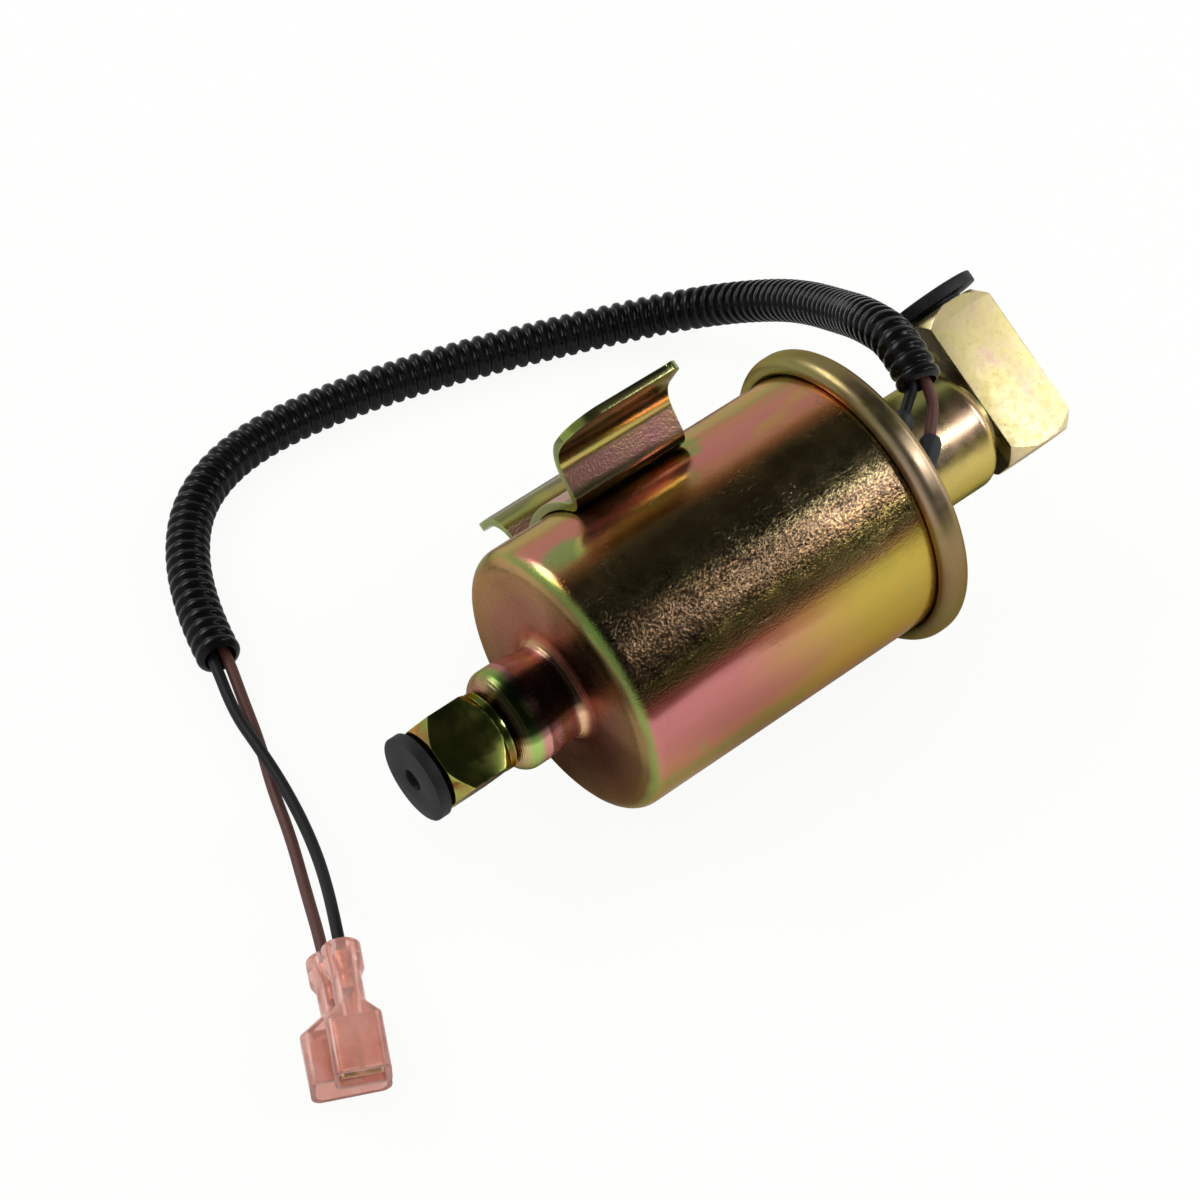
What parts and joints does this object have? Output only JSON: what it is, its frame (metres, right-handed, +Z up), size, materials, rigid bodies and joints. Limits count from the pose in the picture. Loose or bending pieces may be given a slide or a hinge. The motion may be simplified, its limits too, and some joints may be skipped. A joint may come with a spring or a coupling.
{
  "type": "electric fuel pump",
  "caption": "Cylindrical in-line electric fuel pump with square port fittings, strap bracket, travel plugs and a conduit-sheathed two-wire lead with push-on terminals.",
  "frame": {"origin": "bottom centre of the pump's box as it lies on a bench, measured without the wiring lead", "axes": "+X along the pump from inlet to outlet, tipped up 3 degrees; +Z up; the bracket and the outlet port point to +Y and up"},
  "size_m": [0.1833, 0.1439, 0.0712],
  "materials": {
    "yellow_zinc": "glossy yellow-passivated zinc",
    "ring_zinc": "satin yellow-passivated zinc",
    "bright_steel": "turned steel",
    "spring_steel": "drawn wire",
    "brass": "satin",
    "copper": "enamelled wire",
    "plug_rubber": "matte",
    "seal_rubber": "matte",
    "conduit_black": "glossy",
    "wire_black": "satin",
    "wire_brown": "satin",
    "pink_insulation": "translucent",
    "bobbin_plastic": "moulded",
    "card": "pressed fibre",
    "board_green": "lacquered laminate",
    "component_black": "moulded",
    "component_blue": "sleeved",
    "component_tan": "lacquered"
  },
  "bodies": {
    "pump": {"housing_can": "yellow_zinc", "seam_ring": "ring_zinc", "rear_cover": "yellow_zinc", "cover_gasket": "seal_rubber", "neck_seal": "seal_rubber", "boss_seal": "seal_rubber", "inlet_fitting": "yellow_zinc", "outlet_elbow": "yellow_zinc", "mounting_bracket": "yellow_zinc", "filter_screen": "brass", "inlet_valve_seat": "brass", "inlet_valve_cage": "brass", "inlet_valve_spring": "spring_steel", "return_spring": "spring_steel", "plunger_tube": "brass", "rear_bumper": "seal_rubber", "stop_sleeve": "brass", "coil_bobbin": "bobbin_plastic", "coil_winding": "copper", "front_pole_plate": "bright_steel", "rear_pole_plate": "bright_steel", "front_cushion": "seal_rubber", "coil_insulator": "card", "board_spacer": "bobbin_plastic", "circuit_board": "board_green", "pickup_coil": "copper", "transistor": "component_black", "capacitor": "component_blue", "resistor": "component_tan", "lead_sleeve_black": "seal_rubber", "lead_sleeve_brown": "seal_rubber", "wire_black": "wire_black", "wire_brown": "wire_brown", "conduit": "conduit_black", "terminal_sleeve_black": "pink_insulation", "terminal_sleeve_brown": "pink_insulation", "terminal_blade_black": "brass", "terminal_blade_brown": "brass"},
    "plunger_group": {"plunger": "bright_steel", "outlet_valve_clip": "bright_steel", "outlet_valve_spring": "spring_steel"},
    "inlet_valve": {"inlet_valve_disc": "seal_rubber"},
    "outlet_valve": {"outlet_valve_disc": "seal_rubber"},
    "inlet_cap": {"inlet_plug": "plug_rubber"},
    "outlet_cap": {"outlet_plug": "plug_rubber"}
  },
  "joints": [
    {"name": "plunger_slide", "type": "slide", "parent": "pump", "child": "plunger_group", "axis": [0.9986, 0, 0.0526], "range_m": [-0.006, 0], "stiffness_N_per_m": 150, "springref_m": 0.004, "deforming": ["return_spring"]},
    {"name": "inlet_valve_slide", "type": "slide", "parent": "pump", "child": "inlet_valve", "axis": [0.9986, 0, 0.0526], "range_m": [0, 0.0015], "stiffness_N_per_m": 40, "springref_m": -0.001, "deforming": ["inlet_valve_spring"]},
    {"name": "outlet_valve_slide", "type": "slide", "parent": "plunger_group", "child": "outlet_valve", "axis": [0.9986, 0, 0.0526], "range_m": [0, 0.0015], "stiffness_N_per_m": 40, "springref_m": -0.001, "deforming": ["outlet_valve_spring"]},
    {"name": "inlet_plug_pull", "type": "slide", "parent": "pump", "child": "inlet_cap", "axis": [-0.9986, 0, -0.0526], "range_m": [0, 0.018]},
    {"name": "outlet_plug_pull", "type": "slide", "parent": "pump", "child": "outlet_cap", "axis": [-0.029, 0.8344, 0.5504], "range_m": [0, 0.018]}
  ]
}
